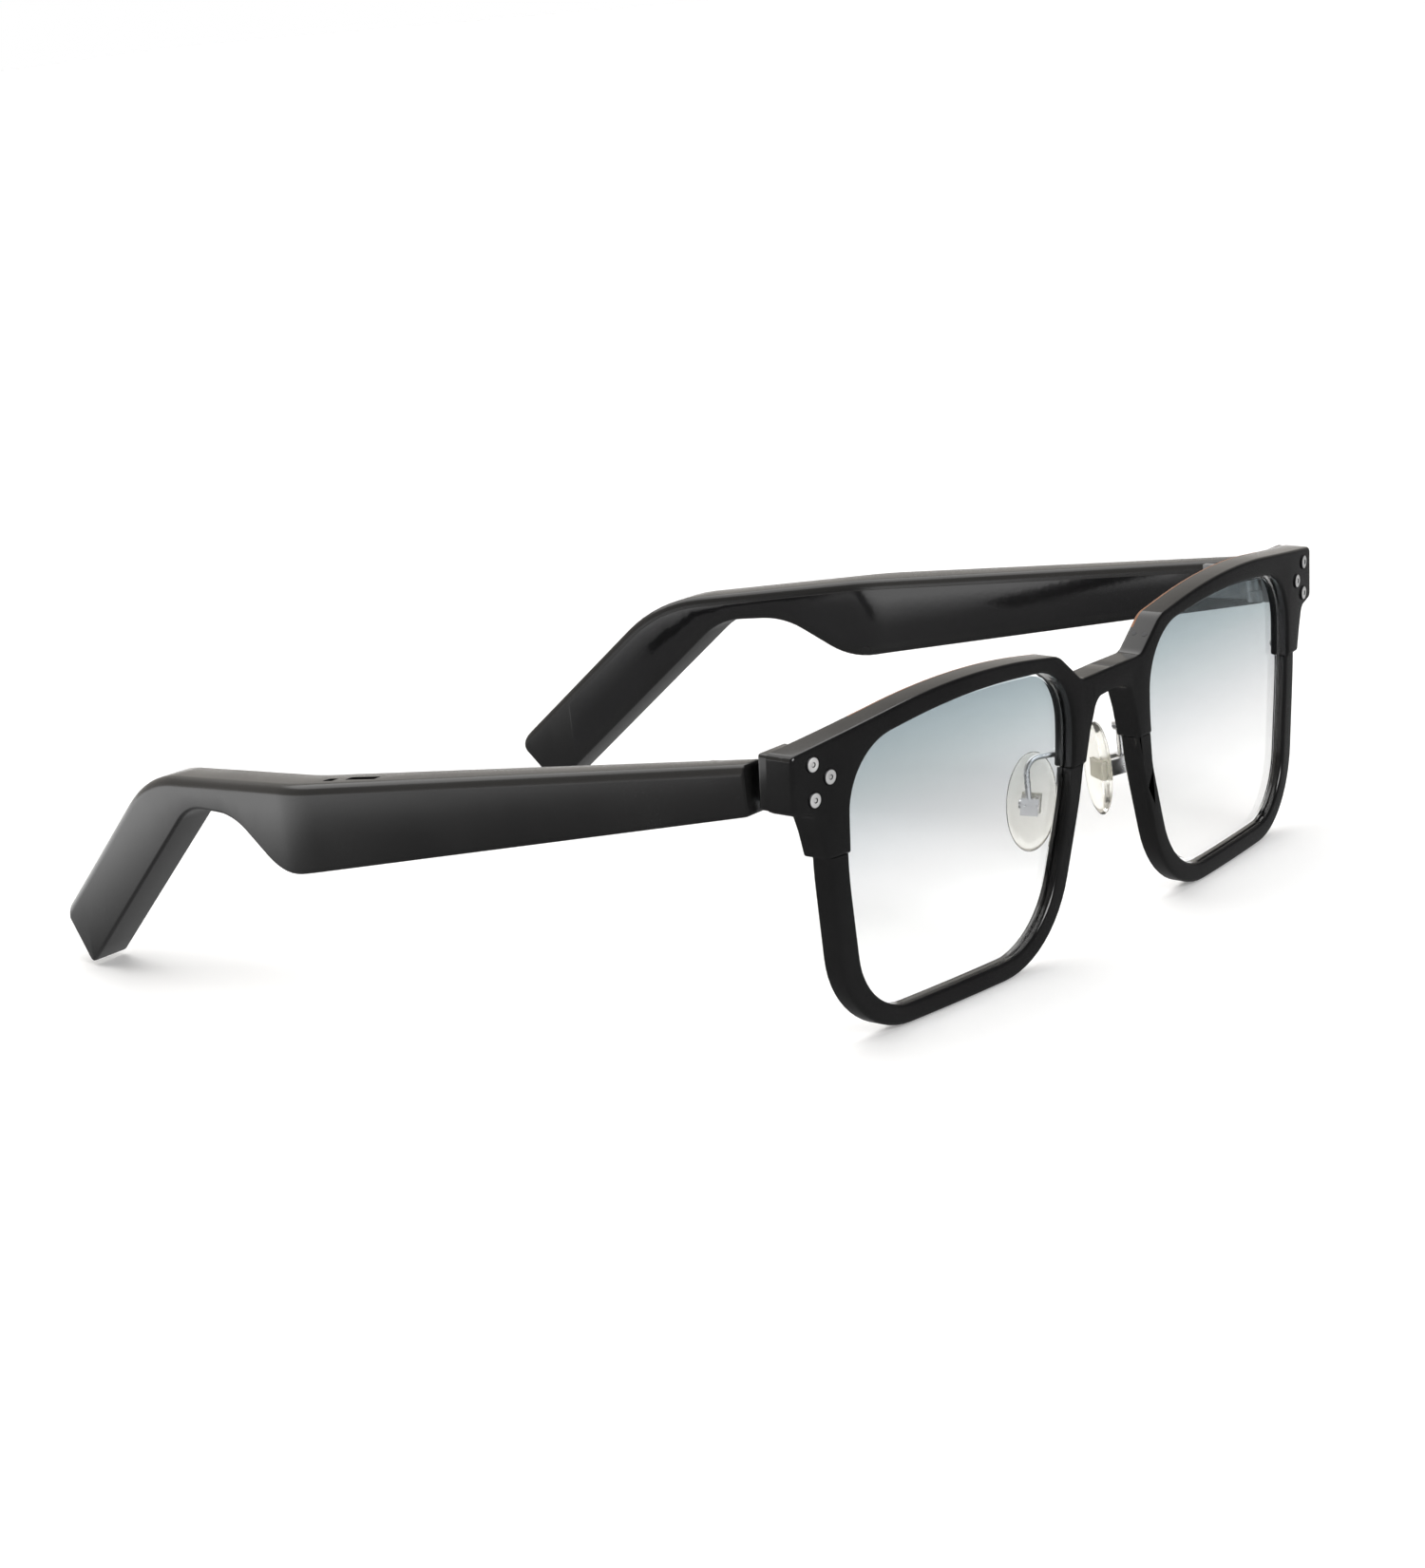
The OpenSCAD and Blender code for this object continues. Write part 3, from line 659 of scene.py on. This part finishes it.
def pad_frame(side):
    """Turns and places a pad: x runs from the nose side to the screw, z up."""
    low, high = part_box("nose_pad_left")
    place = Matrix.Diagonal((side, 1, 1, 1)) @ Matrix.Translation((low + high) / 2)
    for angle, axis in ((PAD_SPLAY, "Y"), (PAD_LEAN, "X"), (PAD_FACING, "Z")):
        place = place @ Matrix.Rotation(math.radians(angle), 4, axis)
    return place


def make_pad(name, side):
    pad = start_mesh(f"nose_pad_{name}_visual", "uv_sphere", segments=48, ring_count=24,
                     radius=0.5)
    place = pad_frame(side)
    for vert in pad.data.vertices:
        x, y, z = vert.co
        thick = x * PAD_T * MM * (1 if x < 0 else PAD_BACK)
        vert.co = place @ Vector((thick, y * PAD_W * MM, z * PAD_L * MM))
    pad.data.materials.append(pad_silicone)
    smooth_piece(pad, 60)
    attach(pad, f"pad_{name}")
    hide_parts(f"nose_pad_{name}")


for name, side in SIDES.items():
    make_pad(name, side)

# ---- Metal fittings and inner parts ----
# The hinges, wires, screws and the parts sealed in the arms keep the shape they were designed
# with, and only take their finish here.

bright_steel = finish("bright_steel", (0.7, 0.7, 0.71), (0.84, 0.84, 0.85), (0.24, 0.36),
                      mottle=400, bump=0.03, metallic=1.0)
hinge_steel = finish("hinge_steel", (0.42, 0.42, 0.43), (0.6, 0.6, 0.61), (0.28, 0.42),
                     mottle=500, bump=0.05, metallic=1.0)
foil = finish("cell_foil", (0.6, 0.6, 0.62), (0.75, 0.76, 0.78), (0.25, 0.4), mottle=300,
              bump=0.2, metallic=1.0)
board_green = finish("board_green", (0.015, 0.09, 0.035), (0.03, 0.16, 0.06), (0.3, 0.4),
                     mottle=500)
case_black = finish("case_black", (0.02, 0.02, 0.022), (0.04, 0.04, 0.042), (0.5, 0.65))
mesh_black = finish("mesh_black", (0.015, 0.015, 0.015), (0.06, 0.06, 0.06), (0.4, 0.6),
                    mottle=3000, bump=0.6, metallic=0.6)
gold = finish("gold_plate", (0.7, 0.5, 0.2), (0.85, 0.65, 0.32), (0.18, 0.3), metallic=1.0)
amber_film = finish("amber_film", (0.4, 0.18, 0.04), (0.55, 0.28, 0.08), (0.3, 0.4))
lead_red = finish("lead_red", (0.3, 0.02, 0.015), (0.42, 0.05, 0.03), (0.4, 0.55))

KEPT = {
    "brow_pins": dark_steel, "rim_screws": bright_steel, "pad_arm": bright_steel,
    "pad_screw": bright_steel, "hinge_screw": bright_steel, "hinge_front": hinge_steel,
    "hinge_rear": hinge_steel, "pad_insert": frosted, "cover_screws": dark_steel,
    "battery": foil, "circuit_board": board_green, "speaker": case_black,
    "speaker_grille": mesh_black, "vent_mesh": mesh_black, "microphone": gold,
    "charge_contacts": gold, "touch_sensor": amber_film, "battery_lead": lead_red,
}
for node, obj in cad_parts.items():
    kind = node.removesuffix("_left").removesuffix("_right")
    if kind in KEPT:
        obj.data.materials.clear()
        obj.data.materials.append(KEPT[kind])

# ---- Studio ----
# A pale floor, one very broad lamp overhead and a soft lamp in front. What the gloss of the
# glasses mirrors is dim in front and bright behind, so that the black front stays black.

FLOOR_LIFT = 0.2
MIRROR_FROM, MIRROR_TO = -0.15, 0.2
MIRRORED_FLOOR = [(0, 0.16), (0.43, 0.22), (0.66, 0.36), (0.8, 1.1), (0.92, 1.7), (1, 2.2)]
SKY = [(0.4, (0.1, 0.1, 0.1)), (0.75, (0.66, 0.63, 0.59))]


def pale_floor():
    """White paper, lifted a little where it is seen straight or through a lens.

    Mirror rays meet a gradient instead, dim in front and bright behind."""
    floor = start_mesh("floor", "plane", size=8)
    paper = finish("floor_paper", (0.87, 0.87, 0.87), (0.9, 0.9, 0.9), (0.6, 0.7), mottle=4)
    nodes, links = paper.node_tree.nodes, paper.node_tree.links
    shader = nodes["Principled BSDF"]
    greys = [(at, (value, value, value)) for at, value in MIRRORED_FLOOR]
    mirror_image = fade_along(paper.node_tree, "Object", "Y", MIRROR_FROM, MIRROR_TO, greys)
    seen, mirrored = nodes.new("ShaderNodeLightPath"), nodes.new("ShaderNodeMath")
    mirrored.operation, mirrored.use_clamp = "SUBTRACT", True
    links.new(seen.outputs["Is Glossy Ray"], mirrored.inputs[0])
    links.new(seen.outputs["Is Transmission Ray"], mirrored.inputs[1])
    direct, lift = nodes.new("ShaderNodeMath"), nodes.new("ShaderNodeMath")
    direct.operation, lift.operation = "ADD", "MULTIPLY"
    links.new(seen.outputs["Is Camera Ray"], direct.inputs[0])
    links.new(seen.outputs["Is Transmission Ray"], direct.inputs[1])
    links.new(direct.outputs["Value"], lift.inputs[0])
    lift.inputs[1].default_value = FLOOR_LIFT
    shader.inputs["Emission Color"].default_value = (1, 1, 1, 1)
    links.new(lift.outputs["Value"], shader.inputs["Emission Strength"])
    glow, both = nodes.new("ShaderNodeEmission"), nodes.new("ShaderNodeMixShader")
    links.new(mirror_image, glow.inputs["Color"])
    links.new(mirrored.outputs["Value"], both.inputs["Fac"])
    links.new(shader.outputs["BSDF"], both.inputs[1])
    links.new(glow.outputs["Emission"], both.inputs[2])
    links.new(both.outputs["Shader"], nodes["Material Output"].inputs["Surface"])
    floor.data.materials.append(paper)


def overhead_light():
    """One very broad lamp high up and a little behind, so that shadows stay faint."""
    data = bpy.data.lights.new("overhead", "SUN")
    data.energy, data.angle = 2.1, math.radians(75)
    light = bpy.data.objects.new("overhead", data)
    light.rotation_euler = (math.radians(-18), math.radians(6), 0)
    bpy.context.scene.collection.objects.link(light)


def front_lamp():
    """A soft lamp in front, which the rivets and the metal of the pads catch."""
    data = bpy.data.lights.new("front_lamp", "AREA")
    data.size, data.energy = 0.7, 14
    light = bpy.data.objects.new("front_lamp", data)
    place = Vector((-0.5, -1.2, 0.7))
    light.matrix_world = Matrix.Translation(place) @ (
        -place).to_track_quat("-Z", "Y").to_matrix().to_4x4()
    bpy.context.scene.collection.objects.link(light)


def studio_world():
    """Dark in front and warm white behind, and plain white where the camera sees it."""
    world = bpy.data.worlds.new("studio")
    bpy.context.scene.world = world
    world.use_nodes = True
    nodes, links = world.node_tree.nodes, world.node_tree.links
    sky = nodes["Background"]
    room = fade_along(world.node_tree, "Generated", "Y", -1, 1, SKY)
    seen, pale = nodes.new("ShaderNodeLightPath"), nodes.new("ShaderNodeMix")
    pale.data_type = "RGBA"
    pale.inputs["B"].default_value = (1, 1, 1, 1)
    links.new(seen.outputs["Is Camera Ray"], pale.inputs["Factor"])
    links.new(room, pale.inputs["A"])
    links.new(pale.outputs["Result"], sky.inputs["Color"])
    sky.inputs["Strength"].default_value = 1.0


pale_floor()
studio_world()
overhead_light()
front_lamp()
bpy.context.scene.view_settings.view_transform = "Standard"

camera_data = bpy.data.cameras.new("camera")
camera_data.lens = 89.87
camera_data.clip_start = 0.01
camera = bpy.data.objects.new("camera", camera_data)
camera.location = (-0.47756, -0.37791, 0.15697)
camera.rotation_euler = [math.radians(angle) for angle in (77.061, 6.044, -53.353)]
bpy.context.scene.collection.objects.link(camera)
bpy.context.scene.camera = camera

bpy.context.view_layer.update()
